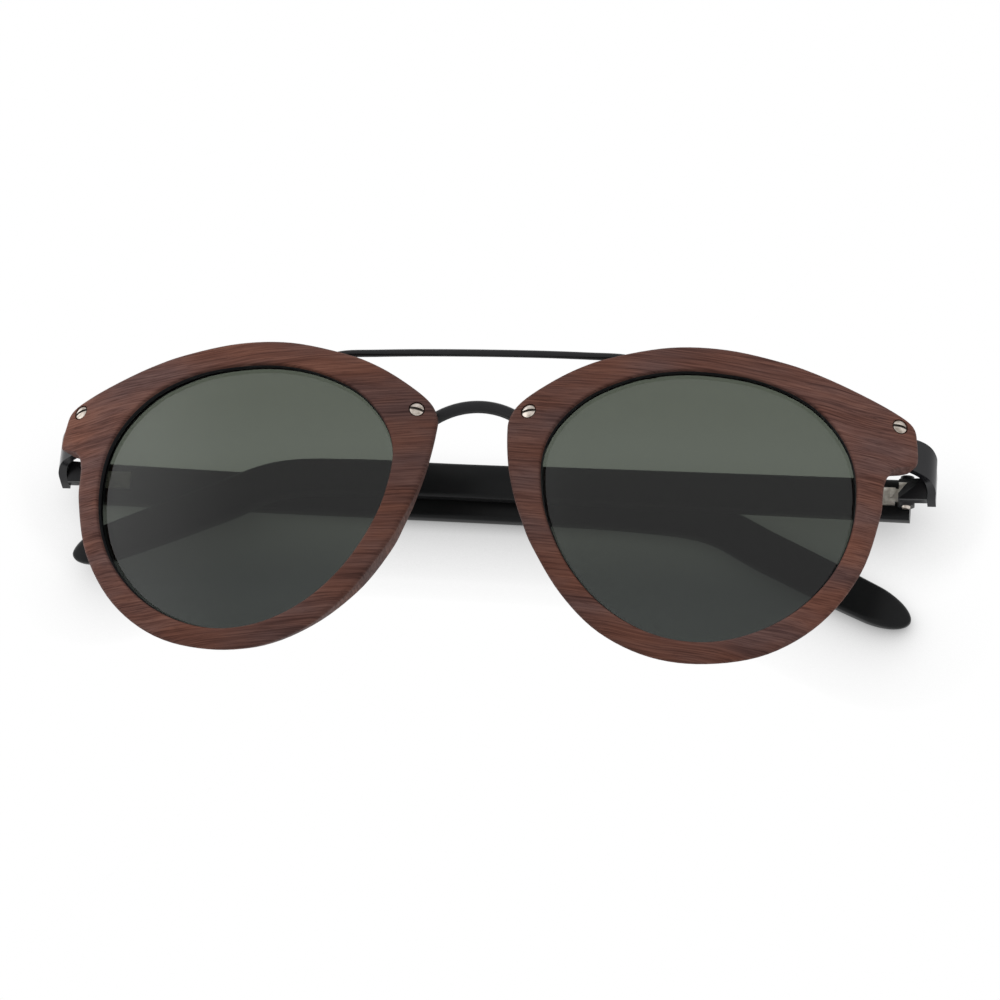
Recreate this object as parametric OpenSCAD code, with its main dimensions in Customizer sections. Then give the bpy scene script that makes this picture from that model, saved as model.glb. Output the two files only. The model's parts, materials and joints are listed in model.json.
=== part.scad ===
// Wooden sunglasses, folded and lying face up on one temple.
// Two domed wooden rims are screwed over black metal eyewires, a round bridge and a top bar.
// Front frame: X to the right, Y to the brow, Z out of the front. Left is the side at -X.

/* [Front] */
// Distance from the nose line to the middle of each lens
lens_centre = 37.3; // [34:0.1:42]
// Radius of the dome that the rims and the lenses follow
dome_r = 88; // [75:1:140]
// Turn of each rim away from the nose line, in degrees
wrap = 4.9; // [2:0.1:8]
// Thickness of the wooden rim
rim_t = 4; // [3.6:0.1:6]
// Height of the lip of wood in front of the eyewire
lip_t = 0.8; // [0.6:0.1:1.6]
// Width of the rebate that the eyewire sits in
rebate_w = 1.35; // [1.2:0.05:1.8]
// Rounding of the rim's outer front edge
edge_round = 0.9; // [0.3:0.1:1.3]
// How far the nose pad carved in each rim stands back from it
nose_pad_depth = 2.4; // [0.5:0.1:4]
// How far the nose pad flares towards the nose
nose_pad_flare = 0.6; // [0:0.1:1.6]

/* [Lenses] */
// Thickness of a lens
lens_t = 1.5; // [1.2:0.1:1.8]
// Depth of the lens groove in the eyewire
groove_d = 0.85; // [0.7:0.05:0.95]
// Space between a lens and its groove
lens_clearance = 0.08; // [0.04:0.01:0.15]

/* [Bridge and bar] */
// Diameter of the bridge wire
bridge_d = 2.1; // [1.6:0.1:2.6]
// Height of the bridge's crown over the middle of the lenses
bridge_crown = 17; // [15.5:0.1:18.5]
// Radius of the bridge's arch
bridge_arch_r = 13; // [11:0.5:18]
// Diameter of the top bar
bar_d = 1.25; // [1:0.05:1.8]
// Height of the top bar over the middle of the lenses
bar_height = 26.4; // [25.6:0.1:27.5]
// Rise of the top bar from its ends to its middle
bar_rise = 0.5; // [0:0.1:1.5]
// Thickness of the tabs and endpieces behind the wood
plate_t = 1.4; // [1.2:0.1:2]

/* [Screws] */
// Diameter of the slotted screw heads
head_d = 2.1; // [1.8:0.1:2.6]
// Diameter of the screw shanks
shank_d = 1.3; // [1:0.1:1.5]
// How far a screw head stands out of the wood
head_proud = 0.25; // [0.1:0.05:0.5]
// Width of the screwdriver slots
slot_w = 0.4; // [0.3:0.05:0.6]

/* [Hinges] */
// Distance from the nose line to each hinge's axis
hinge_x = 70.2; // [69:0.1:72]
// Height of the hinges over the middle of the lenses
hinge_y = 8.5; // [7.5:0.1:9.5]
// Depth of the hinge's axis behind the lenses
hinge_depth = 26.5; // [26:0.1:29]
// Distance from the hinge's axis to the outer face of endpiece and temple
hinge_offset = 5; // [4.8:0.1:5.6]
// Diameter of the knuckles
knuckle_d = 2.8; // [2.4:0.1:3]
// Height of the three knuckles together
knuckle_h = 4.6; // [4:0.1:5.4]
// Height of the temple's knuckle
mid_knuckle_h = 1.6; // [1.2:0.1:2]
// Diameter of the hinge screw
pin_d = 1.4; // [1:0.1:1.5]
// Radial clearance of the hinge screw in the temple's knuckle
pin_clearance = 0.04; // [0.02:0.01:0.08]
// Gap between moving faces of a hinge
hinge_gap = 0.1; // [0.06:0.01:0.2]

/* [Temples] */
// Length from the hinge's axis to the tip
temple_l = 142; // [138:0.5:150]
// Thickness of a temple
temple_t = 3; // [2.6:0.1:3.1]
// Height of a temple at the hinge
temple_h = 7; // [6:0.1:8]
// Height of a temple half way along its arm
temple_mid_h = 6; // [5:0.1:7]
// Width of the ear hook
hook_w = 6.8; // [5.5:0.1:7.5]
// Where the arm starts to bend down, from the hinge's axis
bend_start = 101; // [95:0.5:104]
// Slope of the ear hook, in degrees
hook_angle = 24; // [20:0.5:34]
// Angle that the left temple stays short of folding flat
left_ajar = 1.4; // [1.35:0.05:1.6]
// Angle that the right temple folds past flat
right_over = 1.4; // [1.35:0.05:1.6]
// Droop of the left temple's arm, in degrees
left_droop = 1.4; // [0:0.1:1.6]
// Rise of the right temple's arm, in degrees
right_rise = 0.9; // [0:0.1:1.2]
// Width of the core wire in a temple
core_w = 2; // [1.4:0.1:2.4]
// Thickness of the core wire
core_t = 1.2; // [0.8:0.1:1.4]

/* [Hidden] */
$fn = 48;
WOOD = "#5b342c";
BLACK = "#17181a";
STEEL = "#b9b4ab";
GREEN = "#4a524b";

fit = 0.05;                     // gap between seated pieces
eyewire_d = 2.65;               // depth of an eyewire from front to back
eyewire_front = lip_t+fit;
eyewire_back = eyewire_front+eyewire_d;
eyewire_lip = 0.35;             // metal in front of and behind the lens groove
lens_front = eyewire_front+eyewire_lip+lens_clearance;
lens_back = lens_front+lens_t;
pad_front = rim_t+0.1;          // front of what lies behind the wood
pad_back = pad_front+plate_t;
butt_reach = 0.5;               // how far a temple's butt end passes the hinge's axis
strap_end = 1;                  // where an endpiece ends in front of the axis
face_in = hinge_offset-temple_t;
strap_in = hinge_offset-plate_t;

// Radius of the lens opening every 20 degrees, from the temple side over the brow
opening_r = [27.2, 27.5, 26.2, 24, 22.5, 22.5, 23.5, 25.1, 25.7,
             24.1, 22.8, 22.4, 22.7, 23.4, 24.2, 24.9, 25.8, 26.7];
// Outline of a rim, from the lower corner of its lobe over the brow and round
rim_outline = [[36.8, 10], [36.6, 13.5], [35.8, 16.5], [32.3, 18.7], [25.6, 21.5],
               [19.8, 23.6], [14.4, 25.1], [4.7, 26.8], [-4.7, 26.8], [-14.3, 24.8],
               [-19.4, 23], [-24.2, 20.4], [-28.9, 17], [-30.8, 14.1], [-31, 11.1],
               [-30.3, 5.4], [-28.9, 0], [-27.1, -4.7], [-25, -9.1], [-19.9, -16.7],
               [-13.2, -22.9], [-4.6, -26.6], [4.7, -27.2], [14.4, -24.9],
               [22.7, -19.1], [28.6, -10.4], [31.2, -1], [31.5, 3.4], [31.7, 5.4],
               [32.4, 7.2], [33.8, 8.5], [35.9, 9.1]];
nose_screw = [-27.4, 14.7];     // places of the screws on a rim
lobe_screw = [33.4, 15.8];
bar_screw = [-7.8, 24.4];
nose_pad_mid = 205;             // where the nose pad is on the rim, in degrees
nose_pad_half = 42;
// Endpiece behind the lobe: place along the rim, low and high edge
strap_tab = [[28.6, 10.8, 17], [32, 10.9, 17.2], [35, 11, 16.4]];
// Endpiece back to the hinge: x from the outer face, z from the axis, turn, low and high edge
strap_bend = [[-2.9, 6.9, 60, 1.4, 6.9], [-0.9, 5.8, 46, 0.5, 6.1], [0.05, 4.1, 14, -0.7, 4.9],
              [0, 2.6, 0, -1.9, 3.7], [0, strap_end, 0, -2.6, 2.4]];

// Curves
function spline(p, q, r, s, t) =
    0.5*(2*q+(r-p)*t+(2*p-5*q+4*r-s)*t*t+(3*q-p-3*r+s)*t*t*t);
function ring_spline(pts, steps) = let (n = len(pts))
    [for (k = [0:n-1], i = [0:steps-1])
        spline(pts[(k+n-1)%n], pts[k], pts[(k+1)%n], pts[(k+2)%n], i/steps)];
function open_spline(pts, steps) = let (n = len(pts))
    [for (k = [0:n-2], i = [0:steps-1])
        spline(pts[max(k-1, 0)], pts[k], pts[k+1], pts[min(k+2, n-1)], i/steps), pts[n-1]];
function opening_at(angle) = let (n = len(opening_r), f = (angle+360)%360*n/360, k = floor(f))
    spline(opening_r[(k+n-1)%n], opening_r[k%n], opening_r[(k+1)%n], opening_r[(k+2)%n], f-k);
function unit(v) = v/norm(v);

// A point over the rim's plane, put on the dome and sunk by depth
function dome(p, depth = 0) =
    let (k = 1-depth/dome_r, z = sqrt(dome_r*dome_r-p.x*p.x-p.y*p.y)) [p.x*k, p.y*k, z*k-dome_r];
function to_front(p) = let (u = p.x+lens_centre)
    [u*cos(wrap)+p.z*sin(wrap), p.y, p.z*cos(wrap)-u*sin(wrap)];
function on_front(p, depth) = to_front(dome(p, depth));

// Solids through rings of points
module loft(rings, closed = false) {
    n = len(rings[0]);
    m = len(rings);
    last = closed ? m-1 : m-2;
    sides = [for (k = [0:last], i = [0:n-1]) let (a = k*n, b = (k+1)%m*n, j = (i+1)%n)
        each [[a+i, b+j, a+j], [a+i, b+i, b+j]]];
    caps = closed ? [] : [[for (i = [0:n-1]) i], [for (i = [n-1:-1:0]) (m-1)*n+i]];
    polyhedron([for (ring = rings) each ring], concat(sides, caps), convexity = 8);
}
module tube(path, d, sides = 10) {
    n = len(path);
    loft([for (k = [0:n-1])
        let (t = unit(path[min(k+1, n-1)]-path[max(k-1, 0)]), across = unit(cross(t, [0, 0, 1])),
             up = cross(across, t))
        [for (i = [0:sides-1]) path[k]+d/2*(cos(i*360/sides)*across-sin(i*360/sides)*up)]]);
}

// Placing
lift = hinge_x*sin(left_ajar)+hinge_depth*cos(left_ajar)+hinge_offset;
centre_x = -(hinge_depth-strap_bend[2][1])*sin(left_ajar);
module lie_down() {
    translate([centre_x, 0, lift]) rotate([0, -left_ajar, 0]) children();
}
module sided(side) {
    lie_down() mirror([side < 0 ? 1 : 0, 0, 0]) children();
}
module on_rim(side) {
    sided(side) rotate([0, wrap, 0]) translate([lens_centre, 0, 0]) children();
}
// Stands children on the dome at a place, with Z along its normal
module at_dome(p) {
    spot = dome(p);
    tilt = acos(sqrt(dome_r*dome_r-p.x*p.x-p.y*p.y)/dome_r);
    translate(spot) rotate([0, 0, atan2(p.y, p.x)]) rotate([0, tilt, 0]) rotate([0, 0, -atan2(p.y, p.x)])
        children();
}
module at_hinge(side) {
    sided(side) translate([hinge_x, hinge_y, -hinge_depth]) children();
}
// Temple frame: X runs back to the hinge, the arm along -X, its outer face down at -Z
module on_temple(side) {
    at_hinge(side) rotate([0, side > 0 ? right_over : -left_ajar, 0]) children();
}
module on_arm(side) {
    on_temple(side) rotate([0, 0, side > 0 ? -right_rise : left_droop]) children();
}
// A cylinder along Y
module post(d, low, high) {
    translate([0, low, 0]) rotate([-90, 0, 0]) cylinder(d = d, h = high-low);
}

// Rims
function nose_bump(angle) = let (x = abs(angle-nose_pad_mid)/nose_pad_half)
    x < 1 ? pow(cos(90*x), 2) : 0;
function rim_ring(p) =
    let (angle = (atan2(p.y, p.x)+360)%360, dir = p/norm(p), out = norm(p), in = opening_at(angle),
         bump = nose_bump(angle), back = rim_t+nose_pad_depth*bump, flare = nose_pad_flare*bump,
         mid = (in+rebate_w+out)/2, e = edge_round, i = 0.4, b = 0.5)
    [for (q = [[in, i], [in+0.3*i, 0.3*i], [in+i, 0], [mid, 0], [out-e, 0], [out-0.3*e, 0.3*e], [out, e],
               [out+flare, back-b], [out+flare-b, back], [mid, rim_t+0.6*(back-rim_t)],
               [in+rebate_w, rim_t], [in+rebate_w, lip_t], [in, lip_t]])
        dome(q[0]*dir, q[1])];
module screw_hole(p, depth) {
    at_dome(p) {
        translate([0, 0, -depth]) cylinder(d = shank_d+2*fit, h = depth+1);
        translate([0, 0, -0.5]) cylinder(d = head_d+0.2, h = 2);
    }
}
module rim(side) {
    color(WOOD) on_rim(side) difference() {
        loft([for (p = ring_spline(rim_outline, 3)) rim_ring(p)], closed = true);
        screw_hole(nose_screw, rim_t+3);
        screw_hole(lobe_screw, rim_t+2);
        at_dome(bar_screw) translate([0, 0, -rim_t-2]) cylinder(d = shank_d-0.3+2*fit, h = 4.2);
    }
}
module rim_left() { rim(-1); }
module rim_right() { rim(1); }

// Eyewires and lenses
eyewire_steps = 72;
function eyewire_ring(angle) =
    let (in = opening_at(angle), dir = [cos(angle), sin(angle)], out = in+rebate_w-0.08, deep = in+groove_d,
         g0 = lens_front-lens_clearance, g1 = lens_back+lens_clearance)
    [for (q = [[in, eyewire_front], [out, eyewire_front], [out, eyewire_back], [in, eyewire_back],
               [in, g1], [deep, g1], [deep, g0], [in, g0]]) dome(q[0]*dir, q[1])];
module eyewire(side) {
    color(BLACK) on_rim(side)
        loft([for (k = [0:eyewire_steps-1]) eyewire_ring(k*360/eyewire_steps)], closed = true);
}
module eyewire_left() { eyewire(-1); }
module eyewire_right() { eyewire(1); }
module lens(side) {
    k = 1-(lens_front+lens_t/2)/dome_r;
    color(GREEN) on_rim(side) intersection() {
        translate([0, 0, -25]) linear_extrude(26)
            polygon([for (i = [0:eyewire_steps-1]) let (angle = i*360/eyewire_steps)
                k*(opening_at(angle)+groove_d-0.35)*[cos(angle), sin(angle)]]);
        translate([0, 0, -dome_r]) difference() {
            sphere(r = dome_r-lens_front, $fn = 180);
            sphere(r = dome_r-lens_back, $fn = 180);
        }
    }
}
module lens_left() { lens(-1); }
module lens_right() { lens(1); }

// Bridge and bar
tab_d = 4.6;                    // tabs of the bridge
seat_d = 7;                     // flat on the bridge where it lies against the wood
bar_tab_d = 2.9;                // tabs of the bar
module tab(p, d, hole) {
    at_dome(p) translate([0, 0, -pad_back]) difference() {
        cylinder(d = d, h = plate_t);
        translate([0, 0, -1]) cylinder(d = hole, h = plate_t+2);
    }
}
module both_rims() {
    for (side = [-1, 1]) on_rim(side) children();
}
bridge_end = on_front(nose_screw*0.93, pad_front+plate_t/2);
bridge_z = bridge_end.z-0.85;
bridge_half = 8.4;              // where the arch meets its straight ends
module nose_bridge() {
    arch = [for (x = [-bridge_half:bridge_half/7:bridge_half+0.01])
        [x, bridge_crown-bridge_arch_r+sqrt(bridge_arch_r*bridge_arch_r-x*x), bridge_z]];
    foot = [bridge_end.x, bridge_end.y, bridge_z];
    path = concat([[-foot.x, foot.y, foot.z]], arch, [foot]);
    color(BLACK) union() {
        difference() {
            lie_down() tube(path, bridge_d);
            both_rims() at_dome(nose_screw) translate([0, 0, -pad_front]) cylinder(d = seat_d, h = 12);
            both_rims() at_dome(nose_screw) translate([0, 0, -pad_back-3]) cylinder(d = shank_d, h = 6);
        }
        both_rims() tab(nose_screw, tab_d, shank_d);
    }
}
module top_bar() {
    end = on_front(bar_screw, pad_front+plate_t/2);
    half = [for (p = [[0.81, bar_height-bar_rise], [0.62, bar_height-bar_rise*0.55],
                      [0.4, bar_height-bar_rise*0.2], [0.2, bar_height-bar_rise*0.05]])
        [p[0]*end.x, p[1], end.z]];
    right = concat([end, [0.9*end.x, (end.y+bar_height-bar_rise)/2+0.6, end.z]], half);
    left = [for (k = [len(right)-1:-1:0]) [-right[k].x, right[k].y, right[k].z]];
    path = open_spline(concat(right, [[0, bar_height, end.z]], left), 3);
    color(BLACK) union() {
        difference() {
            lie_down() tube(path, bar_d, 8);
            both_rims() at_dome(bar_screw) translate([0, 0, -pad_front]) cylinder(d = 5, h = 12);
            both_rims() at_dome(bar_screw) translate([0, 0, -pad_back-3]) cylinder(d = shank_d-0.3, h = 6);
        }
        both_rims() tab(bar_screw, bar_tab_d, shank_d-0.3);
    }
}

// Screws
module slotted(d) {
    difference() {
        rotate_extrude() polygon([[0, -0.45], [d/2, -0.45], [d/2, head_proud*0.3],
                                  [d/2-0.2, head_proud*0.75], [d/4, head_proud], [0, head_proud]]);
        translate([-d, -slot_w/2, head_proud-0.35]) cube([2*d, slot_w, 1]);
    }
}
module front_screw(p, side, turn) {
    color(STEEL) on_rim(side) at_dome(p) {
        rotate([0, 0, turn]) slotted(head_d);
        translate([0, 0, -pad_back]) cylinder(d = shank_d-2*fit, h = pad_back-0.4);
    }
}
module nose_screw_left() { front_screw(nose_screw, -1, -25); }
module nose_screw_right() { front_screw(nose_screw, 1, 25); }
module lobe_screw_left() { front_screw(lobe_screw, -1, -20); }
module lobe_screw_right() { front_screw(lobe_screw, 1, 10); }
module bar_fastener(side) {
    d = shank_d-0.3;
    color(STEEL) on_rim(side) at_dome(bar_screw) {
        translate([0, 0, -pad_back]) mirror([0, 0, 1]) difference() {
            cylinder(d1 = 2.2, d2 = 1.7, h = 0.55);
            translate([-2, -slot_w/2, 0.25]) cube([4, slot_w, 1]);
        }
        translate([0, 0, -pad_back]) cylinder(d = d-2*fit, h = pad_back-2);
    }
}
module bar_screw_left() { bar_fastener(-1); }
module bar_screw_right() { bar_fastener(1); }

// Endpieces
function tab_ring(s) = [on_front([s[0], s[2]], pad_front), on_front([s[0], s[1]], pad_front),
                        on_front([s[0], s[1]], pad_back), on_front([s[0], s[2]], pad_back)];
function bend_ring(s) =
    let (x = hinge_x+hinge_offset+s[0], z = s[1]-hinge_depth, low = hinge_y+s[3], high = hinge_y+s[4],
         in_x = x-plate_t*cos(s[2]), in_z = z-plate_t*sin(s[2]))
    [[x, high, z], [x, low, z], [in_x, low, in_z], [in_x, high, in_z]];
strap = concat([for (s = strap_tab) tab_ring(s)], [for (s = strap_bend) bend_ring(s)]);
module endpiece(side) {
    color(BLACK) difference() {
        sided(side) loft(open_spline(strap, 3));
        on_rim(side) at_dome(lobe_screw) translate([0, 0, -pad_back-2]) cylinder(d = shank_d, h = 6);
    }
}
module endpiece_left() { endpiece(-1); }
module endpiece_right() { endpiece(1); }

// Hinges
web_l = 2.2;                    // length of a hinge block along its endpiece
web_h = 4;                      // height of a hinge block's web
web_start = strap_end-fit;      // where the web starts in front of the axis
module hinge_block(side) {
    half = knuckle_h/2;
    gap = mid_knuckle_h/2+hinge_gap;
    color(BLACK) at_hinge(side) difference() {
        union() {
            post(knuckle_d, -half, half);
            translate([-knuckle_d*0.4, -web_h/2, web_start]) cube([knuckle_d*0.4+strap_in-0.02, web_h, web_l]);
        }
        post(knuckle_d+4*hinge_gap, -gap, gap);
        post(pin_d+0.02, -half-1, half+1);
    }
}
module hinge_block_left() { hinge_block(-1); }
module hinge_block_right() { hinge_block(1); }
module hinge_screw(side) {
    half = knuckle_h/2;
    color(STEEL) at_hinge(side) {
        post(pin_d, -half-0.3, half);
        difference() {
            post(pin_d+0.9, half, half+0.5);
            translate([-2, half+0.25, -slot_w/2]) cube([4, 1, slot_w]);
        }
    }
}
module hinge_screw_left() { hinge_screw(-1); }
module hinge_screw_right() { hinge_screw(1); }
leaf_start = 2;                 // leaf plate along the arm
leaf_end = 9.5;
leaf_h = 2.9;
leaf_t = 0.9;
leaf_sunk = 0.35;
module temple_hinge(side) {
    half = mid_knuckle_h/2;
    color(STEEL) on_temple(side) difference() {
        union() {
            post(knuckle_d-0.1, -half, half);
            translate([-leaf_start-0.8, -half, -face_in-leaf_sunk]) cube([leaf_start+0.8, 2*half, face_in+leaf_sunk-0.2]);
            translate([-leaf_end, -leaf_h/2, -face_in-leaf_sunk]) cube([leaf_end-leaf_start, leaf_h, leaf_t]);
        }
        post(pin_d+2*pin_clearance, -half-1, half+1);
    }
}
module temple_hinge_left() { temple_hinge(-1); }
module temple_hinge_right() { temple_hinge(1); }

// Temples
arm_y = -0.3;                   // middle of the arm against the hinge
fall = tan(hook_angle);
hook_l = temple_l-bend_start;
// Middle line and width of a temple: distance from the axis, height, width
temple_line = [[-butt_reach, arm_y, temple_h], [bend_start*0.3, arm_y, temple_h*0.6+temple_mid_h*0.4],
               [bend_start*0.72, arm_y, temple_mid_h], [bend_start*0.93, arm_y-0.1, temple_mid_h+0.2],
               [bend_start+hook_l*0.15, arm_y-hook_l*0.15*fall*0.45, hook_w-0.3],
               [bend_start+hook_l*0.4, arm_y-hook_l*0.315*fall, hook_w],
               [bend_start+hook_l*0.7, arm_y-hook_l*0.615*fall, hook_w-0.1],
               [bend_start+hook_l*0.92, arm_y-hook_l*0.83*fall, hook_w*0.82],
               [bend_start+hook_l*0.98, arm_y-hook_l*0.885*fall, hook_w*0.55],
               [temple_l, arm_y-hook_l*0.903*fall, hook_w*0.2]];
section_round = 0.8;            // rounding of a temple's edges
flat_cut = 0.1;                 // cut off the outer face to leave it flat
function temple_ring(p, dir) =
    let (w = p[2]/2, t = temple_t+flat_cut, c = min(section_round, 0.6*w), k = 0.3*c, up = [-dir.y, dir.x])
    [for (q = [[w-c, 0], [w-k, k], [w, c], [w, t-c], [w-k, t-k], [w-c, t],
               [c-w, t], [k-w, t-k], [-w, t-c], [-w, c], [k-w, k], [c-w, 0]])
        let (s = [p[0], p[1]]+q[0]*up) [-s.x, s.y, -face_in-q[1]]];
core_start = 11;
core_end = bend_start-4;
module core_bar(space) {
    translate([-core_end-space, arm_y-core_w/2-space, -hinge_offset+temple_t/2-core_t/2-space])
        cube([core_end-core_start+2*space, core_w+2*space, core_t+2*space]);
}
module temple(side) {
    path = open_spline(temple_line, 4);
    n = len(path);
    color(BLACK) difference() {
        on_arm(side) loft([for (k = [0:n-1])
            let (d = path[min(k+1, n-1)]-path[max(k-1, 0)]) temple_ring(path[k], unit([d[0], d[1]]))]);
        on_arm(side) core_bar(fit);
        on_arm(side) translate([-200, -100, -hinge_offset-10]) cube([250, 200, 10]);
        on_temple(side) translate([-leaf_end-0.2, -leaf_h/2-0.2, -face_in-leaf_sunk-0.03])
            cube([leaf_end+butt_reach+1, leaf_h+0.4, 3]);
    }
}
module temple_left() { temple(-1); }
module temple_right() { temple(1); }
module core_wire(side) {
    color(STEEL) on_arm(side) core_bar(0);
}
module core_wire_left() { core_wire(-1); }
module core_wire_right() { core_wire(1); }

rim_left();
rim_right();
eyewire_left();
eyewire_right();
lens_left();
lens_right();
nose_bridge();
top_bar();
nose_screw_left();
nose_screw_right();
lobe_screw_left();
lobe_screw_right();
bar_screw_left();
bar_screw_right();
endpiece_left();
endpiece_right();
hinge_block_left();
hinge_block_right();
hinge_screw_left();
hinge_screw_right();
temple_hinge_left();
temple_hinge_right();
temple_left();
temple_right();
core_wire_left();
core_wire_right();
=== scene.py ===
import json
import math
import bpy
import bmesh
from mathutils import Matrix, Vector


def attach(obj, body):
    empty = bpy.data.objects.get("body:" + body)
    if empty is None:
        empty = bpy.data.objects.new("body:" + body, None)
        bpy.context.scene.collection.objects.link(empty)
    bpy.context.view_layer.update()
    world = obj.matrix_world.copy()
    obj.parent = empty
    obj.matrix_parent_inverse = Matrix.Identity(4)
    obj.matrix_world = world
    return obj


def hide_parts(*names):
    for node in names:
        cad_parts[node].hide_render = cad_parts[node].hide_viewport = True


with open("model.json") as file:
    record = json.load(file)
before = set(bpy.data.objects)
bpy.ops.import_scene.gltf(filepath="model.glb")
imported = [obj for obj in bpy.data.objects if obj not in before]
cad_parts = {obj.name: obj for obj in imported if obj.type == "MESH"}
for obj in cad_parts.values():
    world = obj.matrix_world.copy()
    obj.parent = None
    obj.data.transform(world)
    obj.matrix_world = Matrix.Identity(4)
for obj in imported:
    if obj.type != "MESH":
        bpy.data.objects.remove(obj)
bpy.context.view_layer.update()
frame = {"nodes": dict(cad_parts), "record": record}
nodes = frame["nodes"]
mm = 0.001
sides = {"left": -1, "right": 1}

# the shared layout, in millimetres, as in the part's source
layout = dict(lensCentre=37.3, domeR=88.0, wrap=4.9, hingeX=70.2, hingeY=8.5, hingeDepth=26.5,
              hingeOffset=5.0, ajar=1.4, over=1.4, leftDroop=1.4, rightRise=0.9, strapMid=4.1)


# shader sockets as Python values
class Val:
    def __init__(self, tree, socket):
        self.tree, self.socket = tree, socket

    def math(self, kind, other, swap=False):
        node = self.tree.nodes.new("ShaderNodeMath")
        node.operation = kind
        for slotIndex, value in zip((1, 0) if swap else (0, 1), (self, other)):
            plug(self.tree, value, node.inputs[slotIndex])
        return Val(self.tree, node.outputs[0])

    def __add__(self, other):
        return self.math("ADD", other)

    def __radd__(self, other):
        return self.math("ADD", other, True)

    def __sub__(self, other):
        return self.math("SUBTRACT", other)

    def __rsub__(self, other):
        return self.math("SUBTRACT", other, True)

    def __mul__(self, other):
        return self.math("MULTIPLY", other)

    def __rmul__(self, other):
        return self.math("MULTIPLY", other, True)

    def __gt__(self, other):
        return self.math("GREATER_THAN", other)


def plug(tree, value, socket):
    if isinstance(value, Val):
        tree.links.new(value.socket, socket)
    else:
        socket.default_value = value


class Graph:
    def __init__(self, tree):
        self.tree = tree

    def node(self, kind, settings=None, out=0, **values):
        made = self.tree.nodes.new(kind)
        for key, value in (settings or {}).items():
            if key == "stops":
                fillRamp(made.color_ramp, value)
            else:
                setattr(made, key, value)
        for key, value in values.items():
            plug(self.tree, value, pick(made.inputs, key))
        self.last = made
        return Val(self.tree, pick(made.outputs, out)) if made.outputs else None


def pick(sockets, key):
    if isinstance(key, int):
        return sockets[key]
    if key[0] == "i" and key[1:].isdigit():
        return sockets[int(key[1:])]
    return next(s for s in sockets if s.enabled and s.name.replace(" ", "") == key)


def fillRamp(ramp, stops):
    while len(ramp.elements) > 1:
        ramp.elements.remove(ramp.elements[-1])
    for index, (place, colour) in enumerate(stops):
        element = ramp.elements[0] if index == 0 else ramp.elements.new(place)
        element.position = place
        element.color = (*colour, 1)


def newMaterial(name, **constants):
    made = bpy.data.materials.new(name)
    made.use_nodes = True
    graph = Graph(made.node_tree)
    shader = made.node_tree.nodes["Principled BSDF"]
    for key, value in constants.items():
        pick(shader.inputs, key).default_value = value
    return made, graph, shader


def objectPlace(graph):
    return graph.node("ShaderNodeTexCoord", out="Object")


def noiseOf(graph, vector, scale, detail=3.0):
    return graph.node("ShaderNodeTexNoise", Vector=vector, Scale=scale, Detail=detail, Roughness=0.5)


def mixOf(graph, share, *colours):
    first, second = ((*c, 1) if isinstance(c, tuple) else c for c in colours)
    return graph.node("ShaderNodeMix", {"data_type": "RGBA"}, out=2, i0=share, i6=first, i7=second)


def coatWith(graph, shader, colour, rough):
    plug(graph.tree, colour, shader.inputs["Base Color"])
    plug(graph.tree, rough, shader.inputs["Roughness"])


def bumpOf(graph, shader, height, bump):
    strength, distance = bump
    relief = graph.node("ShaderNodeBump", Strength=strength, Distance=distance, Height=height)
    plug(graph.tree, relief, shader.inputs["Normal"])


# finishes; a bump is its strength and its depth in metres
rosewood = dict(
    grainTilt=7.0, streaks=(85, 4000, 420), bands=(16, 360, 60), pores=(230, 8600, 900), patches=(45, 170, 90),
    wander=0.0016, wanderScale=55.0, boardShift=(0.41, 0.23),           # each rim has its own piece of the board
    dark=(0.043, 0.02, 0.017), mid=(0.108, 0.053, 0.043), pale=(0.17, 0.089, 0.071), stops=(0.28, 0.5, 0.74),
    streakShare=0.78, bandShare=0.4, toneDrop=0.09, warm=(1.14, 0.98, 0.86), cool=(0.9, 1.0, 1.1),
    hueRange=(0.36, 0.64), atNose=0.84, perMetre=5.2,                   # painted light: paler from the nose to the lobes, for the light the outward sides catch
    poreFrom=0.63, poreDark=0.5, poreDeep=0.5, shine=0.05, rough=0.6, streakGloss=0.14, poreRough=0.2,
    bump=(0.3, 0.00006))


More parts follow.
